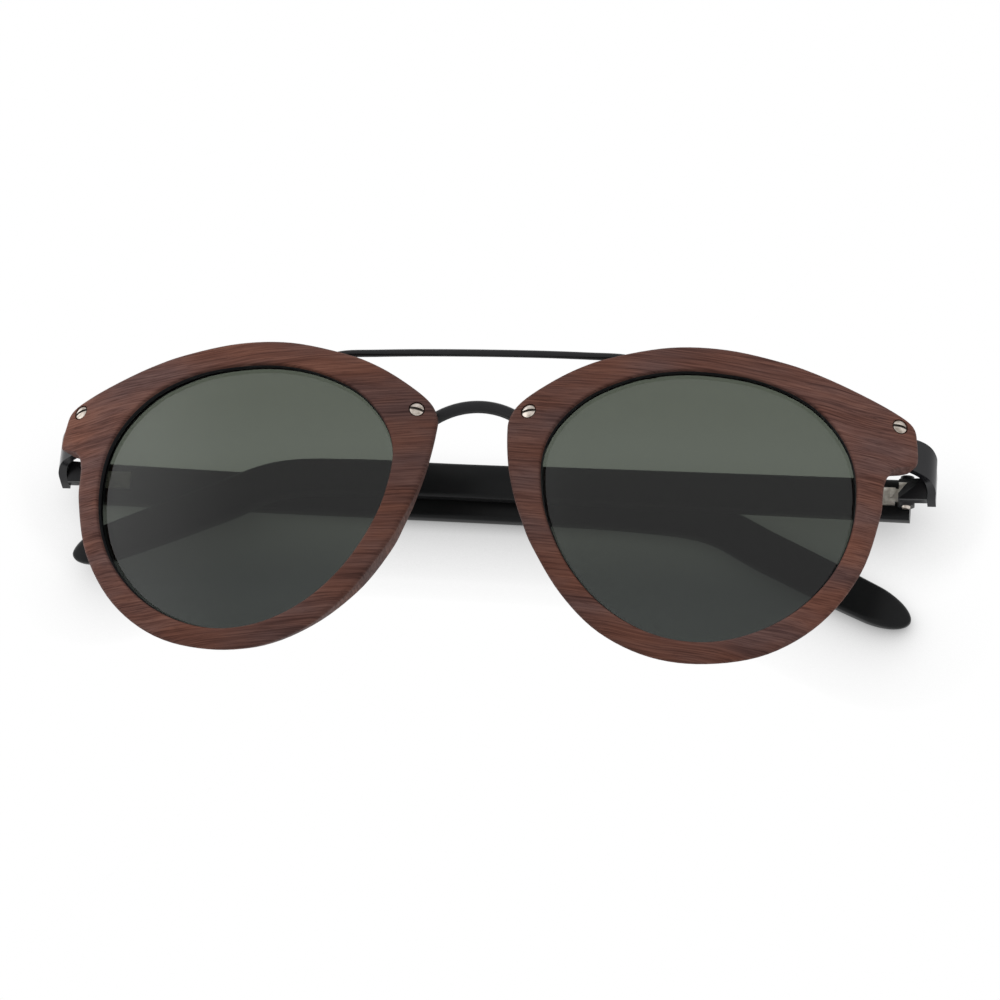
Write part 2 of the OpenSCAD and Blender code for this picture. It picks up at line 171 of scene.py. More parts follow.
def woodFinish():
    s = rosewood
    made, graph, shader = newMaterial("rosewood", SpecularIORLevel=s["shine"])
    place = objectPlace(graph)
    graph.node("ShaderNodeSeparateXYZ", Vector=place)
    x, y, z = (Val(graph.tree, socket) for socket in graph.last.outputs)
    away = x.math("ABSOLUTE", 0.0)
    rim = x > 0.0
    tilt = math.radians(s["grainTilt"])
    along = away * math.cos(tilt) - y * math.sin(tilt)
    across = away * math.sin(tilt) + y * math.cos(tilt)
    wander = noiseOf(graph, place, s["wanderScale"], 2.0) * s["wander"]
    shiftX, shiftZ = s["boardShift"]
    grain = graph.node("ShaderNodeCombineXYZ", X=along + rim * shiftX, Y=across + wander, Z=z + rim * shiftZ)

    def layer(key, detail):
        stretched = graph.node("ShaderNodeVectorMath", {"operation": "MULTIPLY"}, i0=grain, i1=s[key])
        return noiseOf(graph, stretched, 1.0, detail)

    streaks = layer("streaks", 6.0)
    bands = layer("bands", 3.0)
    pores = layer("pores", 2.0)
    patches = layer("patches", 3.0)
    tone = streaks * s["streakShare"] + bands * s["bandShare"] - s["toneDrop"]
    stops = list(zip(s["stops"], (s["dark"], s["mid"], s["pale"])))
    colour = graph.node("ShaderNodeValToRGB", {"stops": stops}, Fac=tone)
    low, high = s["hueRange"]
    warmth = graph.node("ShaderNodeMapRange", Value=patches, FromMin=low, FromMax=high)
    hue = mixOf(graph, warmth, s["cool"], s["warm"])
    colour = graph.node("ShaderNodeVectorMath", {"operation": "MULTIPLY"}, i0=colour, i1=hue)
    # painted light: the wood is made paler towards the lobes, standing in for light on the outward sides
    paintedSideLight = away * s["perMetre"] + s["atNose"]
    colour = graph.node("ShaderNodeVectorMath", {"operation": "SCALE"}, i0=colour, Scale=paintedSideLight)
    inPore = (pores > s["poreFrom"]) * s["poreDark"]
    rough = s["rough"] - streaks * s["streakGloss"] + inPore * s["poreRough"]
    coatWith(graph, shader, mixOf(graph, inPore, colour, s["dark"]), rough)
    bumpOf(graph, shader, streaks - inPore * s["poreDeep"], s["bump"])
    return made


blackPaint = dict(colour=(0.006, 0.006, 0.007), worn=(0.012, 0.012, 0.0135), rough=0.32, shine=0.23)
satinPaint = dict(colour=(0.007, 0.007, 0.0085), worn=(0.013, 0.013, 0.0155), rough=0.2, shine=0.42)
paintGrain = dict(speckle=3200.0, dust=260.0, spread=0.12, bump=(0.12, 0.00002))


def paintFinish(name, paint):
    s = paintGrain
    made, graph, shader = newMaterial(name, SpecularIORLevel=paint["shine"])
    place = objectPlace(graph)
    speckle = noiseOf(graph, place, s["speckle"], 2.0)
    dust = noiseOf(graph, place, s["dust"])
    rough = paint["rough"] - s["spread"] / 2 + dust * s["spread"]
    coatWith(graph, shader, mixOf(graph, dust, paint["colour"], paint["worn"]), rough)
    bumpOf(graph, shader, speckle, s["bump"])
    return made


brightSteel = dict(colour=(0.62, 0.56, 0.5), stain=(0.3, 0.26, 0.22), rough=0.3, metal=1.0)
leafSteel = dict(colour=(0.76, 0.72, 0.65), stain=(0.5, 0.46, 0.4), rough=0.4, metal=0.25)
steelGrain = dict(brush=(500, 3600, 1800), patina=1100.0, stainRange=(0.4, 0.66), finer=0.06, spread=0.16,
                  bump=(0.06, 0.00002))


def steelFinish(name, steel):
    s = steelGrain
    made, graph, shader = newMaterial(name, Metallic=steel["metal"])
    place = objectPlace(graph)
    brush = graph.node("ShaderNodeVectorMath", {"operation": "MULTIPLY"}, i0=place, i1=s["brush"])
    lines = noiseOf(graph, brush, 1.0)
    patina = noiseOf(graph, place, s["patina"])
    low, high = s["stainRange"]
    stained = graph.node("ShaderNodeMapRange", Value=patina, FromMin=low, FromMax=high)
    rough = steel["rough"] - s["finer"] + lines * s["spread"]
    coatWith(graph, shader, mixOf(graph, stained, steel["colour"], steel["stain"]), rough)
    bumpOf(graph, shader, lines, s["bump"])
    return made


# painted shade: the floor of each screw slot is coloured dark for the shade inside the slot
slotShade = dict(dark=(0.03, 0.024, 0.02), pale=(0.07, 0.058, 0.048), scale=2500.0, metal=0.4, rough=0.6)


def slotShadeMaterial():
    s = slotShade
    made, graph, shader = newMaterial("paintedSlotShade", Metallic=s["metal"])
    shadeMottle = noiseOf(graph, objectPlace(graph), s["scale"])
    coatWith(graph, shader, mixOf(graph, shadeMottle, s["dark"], s["pale"]), s["rough"])
    return made


# painted light: the lighter waist offsets the shade behind the lens at mid height; the colour darkens towards the
# bottom
lensTintAndPaintedLight = dict(top=(0.087, 0.1, 0.078), waist=(0.096, 0.11, 0.089), bottom=(0.0293, 0.0343, 0.0312),
                topY=0.018, waistY=0.006, lowY=-0.017, ior=1.37, smear=70.0, rough=0.005, smearRough=0.012)


def lensFinish():
    s = lensTintAndPaintedLight
    made, graph, shader = newMaterial("tintedLens", TransmissionWeight=1.0, IOR=s["ior"])
    place = objectPlace(graph)
    graph.node("ShaderNodeSeparateXYZ", Vector=place)
    y = Val(graph.tree, graph.last.outputs["Y"])
    tint = s["bottom"]
    # the waist stop is painted light laid over the tint
    for key, low, high in (("waist", "lowY", "waistY"), ("top", "waistY", "topY")):
        fade = graph.node("ShaderNodeMapRange", {"interpolation_type": "SMOOTHSTEP"}, Value=y,
                          FromMin=s[low], FromMax=s[high])
        tint = mixOf(graph, fade, tint, s[key])
    smear = noiseOf(graph, place, s["smear"])
    coatWith(graph, shader, tint, s["rough"] + smear * s["smearRough"])
    return made


acetate = dict(colour=(0.01, 0.0105, 0.011), worn=(0.016, 0.0165, 0.017), shine=0.11, rough=0.3, finer=0.05,
               spread=0.12, haze=120.0, polish=1600.0, bump=(0.05, 0.00002))


def acetateFinish():
    s = acetate
    made, graph, shader = newMaterial("blackAcetate", SpecularIORLevel=s["shine"])
    place = objectPlace(graph)
    haze = noiseOf(graph, place, s["haze"], 4.0)
    rough = s["rough"] - s["finer"] + haze * s["spread"]
    coatWith(graph, shader, mixOf(graph, haze, s["colour"], s["worn"]), rough)
    bumpOf(graph, shader, noiseOf(graph, place, s["polish"], 2.0), s["bump"])
    return made


finishes = dict(rosewood=woodFinish(), black_metal=paintFinish("blackMetal", blackPaint),
                steel=steelFinish("brightSteel", brightSteel),
                tinted_lens=lensFinish(), black_acetate=acetateFinish())
paintedSlotShade = slotShadeMaterial()
satinMetal = paintFinish("satinMetal", satinPaint)
leafMetal = steelFinish("leafSteel", leafSteel)
for entry in frame["record"]["subparts"]:
    mesh = nodes[entry["node"]].data
    mesh.materials.clear()
    mesh.materials.append(finishes[entry["material_slot"]])
print("finishes:", len(finishes))


# places in the shared frame, from millimetres of the front
def turnY(degrees):
    return Matrix.Rotation(math.radians(degrees), 4, "Y")


ajar = math.radians(layout["ajar"])
lift = layout["hingeX"] * math.sin(ajar) + layout["hingeDepth"] * math.cos(ajar) + layout["hingeOffset"]
middleX = -(layout["hingeDepth"] - layout["strapMid"]) * math.sin(ajar)
lieDown = Matrix.Translation((middleX, 0, lift)) @ turnY(-layout["ajar"])


def sided(side):
    return lieDown @ Matrix.Diagonal((side, 1, 1, 1))


def onRim(side):
    return sided(side) @ turnY(layout["wrap"]) @ Matrix.Translation((layout["lensCentre"], 0, 0))


def onHinge(side):
    return sided(side) @ Matrix.Translation((layout["hingeX"], layout["hingeY"], -layout["hingeDepth"]))


def onTemple(side):
    return onHinge(side) @ turnY(layout["over"] if side > 0 else -layout["ajar"])


def onArm(side):
    tilt = -layout["rightRise"] if side > 0 else layout["leftDroop"]
    return onTemple(side) @ Matrix.Rotation(math.radians(tilt), 4, "Z")


def dome(a, b, depth=0.0):
    r = layout["domeR"]
    k = 1 - depth / r
    return Vector((a * k, b * k, math.sqrt(r * r - a * a - b * b) * k - r))


def domeTilt(a, b):
    normal = Vector((a, b, math.sqrt(layout["domeR"] ** 2 - a * a - b * b))).normalized()
    return Vector((0, 0, 1)).rotation_difference(normal).to_matrix().to_4x4()


def spline(p, q, r, s, t):
    return [0.5 * (2 * b + (c - a) * t + (2 * a - 5 * b + 4 * c - d) * t * t + (3 * b - a - 3 * c + d) * t ** 3)
            for a, b, c, d in zip(p, q, r, s)]


def ringSpline(points, steps):
    n = len(points)
    return [spline(points[k - 1], points[k], points[(k + 1) % n], points[(k + 2) % n], i / steps)
            for k in range(n) for i in range(steps)]


def openSpline(points, steps):
    n = len(points)
    path = [spline(points[max(k - 1, 0)], points[k], points[k + 1], points[min(k + 2, n - 1)], i / steps)
            for k in range(n - 1) for i in range(steps)]
    return path + [list(points[-1])]


def corner(x, y, rx, ry, start, count=5):
    return [(x + rx * math.cos(math.radians(start + 90 * i / (count - 1))),
             y + ry * math.sin(math.radians(start + 90 * i / (count - 1)))) for i in range(count)]


# meshes
def finishMesh(name, bm, material, sharpAngle=40.0, recalc=True):
    if recalc:
        bmesh.ops.recalc_face_normals(bm, faces=bm.faces)
    mesh = bpy.data.meshes.new(name)
    bm.to_mesh(mesh)
    bm.free()
    mesh.materials.append(material)
    mesh.shade_smooth()
    mesh.set_sharp_from_angle(angle=math.radians(sharpAngle))
    made = bpy.data.objects.new(name, mesh)
    bpy.context.scene.collection.objects.link(made)
    return made


def addLoft(bm, rings, closed):
    rows = [[bm.verts.new(Vector(p) * mm) for p in ring] for ring in rings]
    count = len(rows[0])
    pairs = list(zip(rows, rows[1:] + rows[:1])) if closed else list(zip(rows, rows[1:]))
    for low, high in pairs:
        for i in range(count):
            j = (i + 1) % count
            bm.faces.new((low[i], low[j], high[j], high[i]))
    if not closed:
        bm.faces.new(rows[0])
        bm.faces.new(list(reversed(rows[-1])))


def addTube(bm, path, diameter, place, count=20):
    path = [Vector(p) for p in path]
    rings = []
    for k, point in enumerate(path):
        along = (path[min(k + 1, len(path) - 1)] - path[max(k - 1, 0)]).normalized()
        across = along.cross(Vector((0, 0, 1))).normalized()
        up = across.cross(along)
        rings.append([place @ (point + diameter / 2 * (math.cos(a) * across + math.sin(a) * up))
                      for a in (2 * math.pi * i / count for i in range(count))])
    addLoft(bm, rings, False)


def addLathe(bm, profile, place, count=40):
    rings = [[place @ Vector((r * math.cos(a), r * math.sin(a), z))
              for a in (2 * math.pi * i / count for i in range(count))] for r, z in profile]
    addLoft(bm, rings, False)


def carve(piece, cutter, sharpAngle):
    cut = piece.modifiers.new("carve", "BOOLEAN")
    cut.object, cut.operation, cut.solver = cutter, "DIFFERENCE", "EXACT"
    cut.material_mode = "TRANSFER"
    graph = bpy.context.evaluated_depsgraph_get()
    carved = bpy.data.meshes.new_from_object(piece.evaluated_get(graph))
    piece.modifiers.clear()
    piece.data = carved
    carved.set_sharp_from_angle(angle=math.radians(sharpAngle))
    bpy.data.objects.remove(cutter)


def stand(piece, body, slotName, *replaced):
    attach(piece, body)
    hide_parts(*replaced)


# rims
rimSizes = dict(
    thick=4.0, lip=0.8, rebate=1.35, edge=1.0, innerEdge=0.4, rearEdge=0.6,
    padDepth=2.4, padFlare=0.6, padMid=205.0, padHalf=42.0,
    opening=[27.2, 27.5, 26.2, 24, 22.5, 22.5, 23.5, 25.1, 25.7,
             24.1, 22.8, 22.4, 22.7, 23.4, 24.2, 24.9, 25.8, 26.7],
    outline=[(36.8, 10), (36.6, 13.5), (35.8, 16.5), (32.3, 18.7), (25.6, 21.5), (19.8, 23.6), (14.4, 25.1),
             (4.7, 26.8), (-4.7, 26.8), (-14.3, 24.8), (-19.4, 23), (-24.2, 20.4), (-28.9, 17),
             (-30.8, 14.1), (-31, 11.1), (-30.3, 5.4), (-28.9, 0), (-27.1, -4.7), (-25, -9.1), (-19.9, -16.7),
             (-13.2, -22.9), (-4.6, -26.6), (4.7, -27.2), (14.4, -24.9), (22.7, -19.1), (28.6, -10.4),
             (31.2, -1), (31.5, 3.4), (31.7, 5.4), (32.4, 7.2), (33.8, 8.5), (35.9, 9.1)],
    noseScrew=(-27.4, 14.7), lobeScrew=(33.4, 15.8), recessD=2.75, recessDepth=0.6)


def openingAt(degrees):
    radii = rimSizes["opening"]
    n = len(radii)
    f = degrees % 360 * n / 360
    k = int(f)
    return spline(*[[radii[i % n]] for i in (k - 1, k, k + 1, k + 2)], f - k)[0]


def rimRing(a, b, place):
    s = rimSizes
    degrees = math.degrees(math.atan2(b, a)) % 360
    out = math.hypot(a, b)
    inner = openingAt(degrees)
    x = abs(degrees - s["padMid"]) / s["padHalf"]
    bump = math.cos(math.pi / 2 * x) ** 2 if x < 1 else 0.0
    back = s["thick"] + s["padDepth"] * bump
    wide = out + s["padFlare"] * bump
    e, i, b2 = s["edge"], s["innerEdge"], s["rearEdge"]
    seat = inner + s["rebate"]
    section = corner(inner + i, i, i, i, 180)                               # inner front edge
    section += [(inner + i + (out - e - inner - i) * t, 0) for t in (0.25, 0.5, 0.75)]
    section += corner(out - e, e, e, e, 270)                                # outer front edge
    section += [(out + (wide - out) * t, e + (back - b2 - e) * t) for t in (0.35, 0.7)]
    section += corner(wide - b2, back - b2, b2, b2, 0)                      # outer rear edge
    section += [(wide - b2 + (seat - wide + b2) * t, back + (s["thick"] - back) * t ** 0.8)
                for t in (0.4, 0.75)]                                       # hollow rear of the nose pad
    section += [(seat + 0.15, s["thick"]), (seat, s["thick"] - 0.15), (seat, s["lip"]), (inner, s["lip"])]
    direction = Vector((a, b)) / out
    return [place @ dome(*(direction * r), depth) for r, depth in section]


def makeRim(sideName):
    place = onRim(sides[sideName])
    bm = bmesh.new()
    addLoft(bm, [rimRing(a, b, place) for a, b in ringSpline(rimSizes["outline"], 6)], True)
    rim = finishMesh("woodRim_" + sideName, bm, finishes["rosewood"], 50)
    cutter = bmesh.new()
    for a, b in (rimSizes["noseScrew"], rimSizes["lobeScrew"]):
        seat = place @ Matrix.Translation(dome(a, b)) @ domeTilt(a, b)
        r = rimSizes["recessD"] / 2
        addLathe(cutter, [(r, -rimSizes["recessDepth"]), (r, 2)], seat, 40)
    carve(rim, finishMesh("screwSeats", cutter, finishes["rosewood"], 30), 50)
    stand(rim, "front", "rosewood", "rim_" + sideName)


# eyewires
wireSizes = dict(front=0.85, back=3.5, width=1.27, round=0.12, grooveFrom=1.62, grooveTo=2.86, grooveDeep=0.85,
                 rearLip=0.48, rearFlare=0.85, rearEdge=0.15, steps=144)


def makeEyewire(sideName):
    place = onRim(sides[sideName])
    s = wireSizes
    e = s["round"]
    section = [(0, s["grooveFrom"]), (0, s["front"] + e), (0.3 * e, s["front"] + 0.3 * e), (e, s["front"]),
               (s["width"], s["front"]), (s["width"], s["back"]), (s["rearFlare"], s["back"]),
               (s["rearLip"], s["grooveTo"] + s["rearEdge"]), (s["rearLip"], s["grooveTo"]),
               (s["grooveDeep"], s["grooveTo"]), (s["grooveDeep"], s["grooveFrom"])]
    rings = []
    for i in range(s["steps"]):
        angle = 360 * i / s["steps"]
        along = Vector((math.cos(math.radians(angle)), math.sin(math.radians(angle))))
        rings.append([place @ dome(*(along * (openingAt(angle) + out)), depth) for out, depth in section])
    bm = bmesh.new()
    addLoft(bm, rings, True)
    ring = finishMesh("wireRing_" + sideName, bm, finishes["black_metal"], 30)
    stand(ring, "front", "black_metal", "eyewire_" + sideName)


# lenses
lensSizes = dict(front=1.7, thick=1.08, grip=0.5, bevel=0.25, rings=14, steps=144)


def makeLens(sideName):
    place = onRim(sides[sideName])
    s = lensSizes
    k = 1 - (s["front"] + s["thick"] / 2) / layout["domeR"]
    bm = bmesh.new()

    def row(shrink, inset, depth):
        verts = []
        for i in range(s["steps"]):
            angle = 360 * i / s["steps"]
            r = ((openingAt(angle) + s["grip"]) * k - inset) * shrink
            kk = 1 - depth / layout["domeR"]
            p = dome(r * math.cos(math.radians(angle)) / kk, r * math.sin(math.radians(angle)) / kk, depth)
            verts.append(bm.verts.new(place @ p * mm))
        return verts

    front = [row(t / s["rings"], 0, s["front"]) for t in range(1, s["rings"])]
    front.append(row(1, s["bevel"], s["front"]))
    back = [row(t / s["rings"], 0, s["front"] + s["thick"]) for t in range(1, s["rings"])]
    back.append(row(1, 0, s["front"] + s["thick"]))
    rows = front + [row(1, 0, s["front"] + s["bevel"])] + back[::-1]
    for low, high in zip(rows, rows[1:]):
        for i in range(s["steps"]):
            j = (i + 1) % s["steps"]
            bm.faces.new((low[i], low[j], high[j], high[i]))
    for end, depth in ((front[0], s["front"]), (back[0], s["front"] + s["thick"])):
        middle = bm.verts.new(place @ dome(0, 0, depth) * mm)
        for i in range(s["steps"]):
            bm.faces.new((end[i], end[(i + 1) % s["steps"]], middle))
    lens = finishMesh("lensGlass_" + sideName, bm, finishes["tinted_lens"], 25)
    stand(lens, "front", "tinted_lens", "lens_" + sideName)


# bridge and top bar
bridgeSizes = dict(wireD=2.1, crown=17.0, archR=13.0, half=8.4, archSteps=24, footAt=0.93, sink=0.85,
                   tabD=4.6, tabT=1.4, tabEdge=0.25, tabPole=0.05, behind=4.1)
barSizes = dict(wireD=1.25, height=26.4, rise=0.5, tabAt=(-7.8, 24.4), tabD=2.9, tabFlat=0.5,
                elbowAt=0.9, elbowUp=0.6,
                curve=((0.81, 1), (0.62, 0.55), (0.4, 0.2), (0.2, 0.05)))   # shares of the half span and the rise


# a round tab behind a screw; flat is how far it reaches towards the lens
def addTab(bm, a, b, diameter, place, flat):
    s = bridgeSizes
    seat = place @ Matrix.Translation(dome(a, b)) @ domeTilt(a, b)
    r, low, high = diameter / 2, -s["behind"] - s["tabT"], -s["behind"]
    e, pole = s["tabEdge"], s["tabPole"]
    first = len(bm.verts)
    profile = [(pole, low), (r - e, low), (r - 0.3 * e, low + 0.3 * e), (r, low + e), (r, high), (pole, high)]
    addLathe(bm, profile, seat)
    outward = seat.to_3x3() @ Vector((a, b, 0)).normalized()
    bm.verts.ensure_lookup_table()
    for vert in bm.verts[first:]:
        short = (vert.co / mm - seat.translation).dot(outward) + flat
        if short < 0:
            vert.co -= outward * short * mm


def frontPoint(a, b, depth):
    p = dome(a, b, depth)
    return turnY(layout["wrap"]) @ (p + Vector((layout["lensCentre"], 0, 0)))


def makeBridge():
    s = bridgeSizes
    depth = s["behind"] + s["tabT"] / 2
    foot = frontPoint(*(Vector(rimSizes["noseScrew"]) * s["footAt"]), depth)
    z = foot.z - s["sink"]
    steps = s["archSteps"]
    arch = []
    for i in range(steps + 1):
        x = s["half"] * (2 * i / steps - 1)
        arch.append((x, s["crown"] - s["archR"] + math.sqrt(s["archR"] ** 2 - x * x), z))
    path = [(-foot.x, foot.y, z)] + arch + [(foot.x, foot.y, z)]
    bm = bmesh.new()
    addTube(bm, openSpline(path, 3), s["wireD"], lieDown)
    for side in sides.values():
        addTab(bm, *rimSizes["noseScrew"], s["tabD"], onRim(side), s["tabD"])
    stand(finishMesh("bridgeWire", bm, finishes["black_metal"], 45), "front", "black_metal", "nose_bridge")


def makeTopBar():
    s = barSizes
    end = frontPoint(*s["tabAt"], bridgeSizes["behind"] + bridgeSizes["tabT"] / 2)
    low = s["height"] - s["rise"]
    half = [end, Vector((s["elbowAt"] * end.x, (end.y + low) / 2 + s["elbowUp"], end.z))]
    for t, fall in s["curve"]:
        half.append(Vector((t * end.x, s["height"] - s["rise"] * fall, end.z)))
    path = half + [Vector((0, s["height"], end.z))] + [Vector((-p.x, p.y, p.z)) for p in reversed(half)]
    bm = bmesh.new()
    addTube(bm, openSpline(path, 8), s["wireD"], lieDown, 16)
    for side in sides.values():
        addTab(bm, *s["tabAt"], s["tabD"], onRim(side), s["tabFlat"])
    stand(finishMesh("topBarWire", bm, finishes["black_metal"], 45), "front", "black_metal", "top_bar")


# endpieces; a bend row is x from the outer face, z from the axis, turn, low and high edge
strapSizes = dict(thick=1.4, behind=4.1, bevel=0.3,
                  pad=[(28.6, 10.8, 17), (32, 10.9, 17.2), (35, 11, 16.4)],
                  bend=[(-2.9, 6.9, 60, 1.4, 6.9), (-0.9, 5.8, 46, 0.5, 6.1), (0.05, 4.1, 14, -0.7, 4.9),
                        (0, 2.6, 0, -1.9, 3.7), (0, 1, 0, -2.6, 2.4)])


def makeEndpiece(sideName):
    s = strapSizes
    rings = [[frontPoint(a, high, s["behind"]), frontPoint(a, low, s["behind"]),
              frontPoint(a, low, s["behind"] + s["thick"]), frontPoint(a, high, s["behind"] + s["thick"])]
             for a, low, high in s["pad"]]
    face = layout["hingeX"] + layout["hingeOffset"]
    for dx, dz, turn, low, high in s["bend"]:
        outer = Vector((face + dx, layout["hingeY"], dz - layout["hingeDepth"]))
        inner = outer - s["thick"] * Vector((math.cos(math.radians(turn)), 0, math.sin(math.radians(turn))))
        corners = ((outer, high), (outer, low), (inner, low), (inner, high))
        rings.append([p + Vector((0, y, 0)) for p, y in corners])
    flat = [[c for p in ring for c in p] for ring in rings]
    place = sided(sides[sideName])
    bm = bmesh.new()
    addLoft(bm, [[place @ Vector(r[i:i + 3]) for i in (0, 3, 6, 9)] for r in openSpline(flat, 6)], False)
    sharp = [e for e in bm.edges if e.is_manifold and e.calc_face_angle() > math.radians(50)]
    bmesh.ops.bevel(bm, geom=sharp, offset=s["bevel"] * mm, segments=3, affect="EDGES", profile=0.5)
    strap = finishMesh("strap_" + sideName, bm, satinMetal, 60)
    stand(strap, "front", "black_metal", "endpiece_" + sideName)


# hinge blocks, with the bright inlay beside the temple's knuckle, and their screws
blockSizes = dict(inlay=[(-1.7, -1.75), (0.3, 0.85), (-1.7, 0.85)], inlayDepth=2.5,
                  slope=[(-2, 1.35), (4, 1.75), (4, 3), (-2, 3)], slopeDepth=1.2, top=4.0)


def copyNode(node, name, material):
    bm = bmesh.new()
    bm.from_mesh(nodes[node].data)
    bmesh.ops.remove_doubles(bm, verts=bm.verts, dist=0.000001)
    return finishMesh(name, bm, material, 30, recalc=False)


def makeHingeBlock(sideName):
    s = blockSizes
    node = "hinge_block_" + sideName
    block = copyNode(node, "hingeBlock_" + sideName, finishes["black_metal"])
    place = onHinge(sides[sideName])
    for outline, low, finish in ((s["slope"], s["slopeDepth"], finishes["black_metal"]),
                                 (s["inlay"], s["inlayDepth"], leafMetal)):
        cutter = bmesh.new()
        addLoft(cutter, [[place @ Vector((x, y, z)) for x, y in outline] for z in (low, s["top"])], False)
        carve(block, finishMesh("hingeNotch", cutter, finish, 30), 30)
    stand(block, "front", "black_metal", node)


def makeHingeScrew(sideName):
    node = "hinge_screw_" + sideName
    screw = copyNode(node, "hingeScrew_" + sideName, finishes["steel"])
    screw.data.materials.append(finishes["black_metal"])
    for face in screw.data.polygons:
        face.material_index = int(face.center.y > layout["hingeY"] * mm)            # blackened head, bare end
    stand(screw, "front", "steel", node)


leafTrim = dict(half=4.0, low=-9.0, high=4.0, far=-20.0)


def makeTempleHinge(sideName):
    s = leafTrim
    node = "temple_hinge_" + sideName
    hinge = copyNode(node, "hingeLeaf_" + sideName, leafMetal)
    place = onTemple(sides[sideName])
    cutter = bmesh.new()
    box = ((-s["half"], s["low"]), (s["half"], s["low"]), (s["half"], s["high"]), (-s["half"], s["high"]))
    ends = (s["far"], -templeSizes["leafEnd"])
    addLoft(cutter, [[place @ Vector((x, y, z)) for y, z in box] for x in ends], False)
    carve(hinge, finishMesh("leafTrim", cutter, leafMetal, 30), 30)
    stand(hinge, sideName + "_temple", "steel", node)


# temples
templeSizes = dict(length=142.0, thick=3.0, height=7.0, midHeight=6.0, hookW=6.8, bendStart=101.0, hookAngle=24.0,
                   armY=-0.3, buttReach=0.5, edge=0.8, tipFrom=135.5, tipBlunt=0.0025, tipEdge=0.5,
                   leafEnd=6.3, leafH=2.9, leafSunk=0.35, leafGap=0.2, leafUnder=0.03, ringSteps=24)


def templeLine():
    s = templeSizes
    b, y, w = s["bendStart"], s["armY"], s["hookW"]
    h = s["length"] - b
    fall = math.tan(math.radians(s["hookAngle"]))
    return [(-s["buttReach"], y, s["height"]), (b * 0.3, y, s["height"] * 0.6 + s["midHeight"] * 0.4),
            (b * 0.72, y, s["midHeight"]), (b * 0.93, y - 0.1, s["midHeight"] + 0.2),
            (b + h * 0.15, y - h * 0.15 * fall * 0.45, w - 0.3), (b + h * 0.4, y - h * 0.315 * fall, w),
            (b + h * 0.7, y - h * 0.615 * fall, w - 0.1), (b + h * 0.92, y - h * 0.83 * fall, w * 0.9),
            (s["length"], y - h * 0.903 * fall, w * 0.86)]


def makeTemple(sideName):
    s = templeSizes
    place = onArm(sides[sideName])
    path = openSpline(templeLine(), s["ringSteps"])
    inner = layout["hingeOffset"] - s["thick"]
    rings = []
    for k, (x, y, w) in enumerate(path):
        before, after = path[max(k - 1, 0)], path[min(k + 1, len(path) - 1)]
        along = Vector((after[0] - before[0], after[1] - before[1])).normalized()
        up = Vector((-along.y, along.x))
        past = max(0.0, (x - s["tipFrom"]) / (s["length"] - s["tipFrom"]))
        taper = math.sqrt(1 + s["tipBlunt"] - past * past)                  # the tip is a rounded end
        half = w / 2 * taper
        c = min(s["edge"] + s["tipEdge"] * past, 0.8 * half)
        cz = min(s["edge"] + s["tipEdge"] * past, s["thick"] / 2 - 0.1)
        section = corner(half - c, cz, c, cz, 270) + corner(half - c, s["thick"] - cz, c, cz, 0)
        section += corner(c - half, s["thick"] - cz, c, cz, 90) + corner(c - half, cz, c, cz, 180)
        rings.append([])
        for across, depth in section:
            spot = Vector((x, y)) + across * up
            deep = s["thick"] / 2 + (depth - s["thick"] / 2) * math.sqrt(taper)
            rings[-1].append(place @ Vector((-spot.x, spot.y, -inner - deep)))
    bm = bmesh.new()
    addLoft(bm, rings, False)
    arm = finishMesh("arm_" + sideName, bm, finishes["black_acetate"], 50)
    recess = bmesh.new()
    half = s["leafH"] / 2 + s["leafGap"]
    floor = -inner - s["leafSunk"] - s["leafUnder"]
    seat = onTemple(sides[sideName])
    rings = [[seat @ Vector((x, y, z)) for y, z in ((-half, floor), (half, floor), (half, 2), (-half, 2))]
             for x in (-s["leafEnd"] - s["leafGap"], s["buttReach"] + 1)]
    addLoft(recess, rings, False)
    carve(arm, finishMesh("leafRecess", recess, finishes["black_acetate"], 30), 50)
    stand(arm, sideName + "_temple", "black_acetate", "temple_" + sideName)


for name in sides:
    makeRim(name)
    makeEyewire(name)
    makeLens(name)
    makeEndpiece(name)
    makeHingeBlock(name)
    makeHingeScrew(name)
    makeTempleHinge(name)
    makeTemple(name)
makeBridge()
makeTopBar()
print("front and temples made")


# slotted screws, as instances on their seats
screwSizes = dict(headD=2.3, proud=0.2, sink=0.6, slotW=0.46, slotDepth=0.4, crownR=2.3, barShare=0.62,
                  noseSpin=(170, 8), lobeSpin=(20, -3), barSpin=(35, 70))


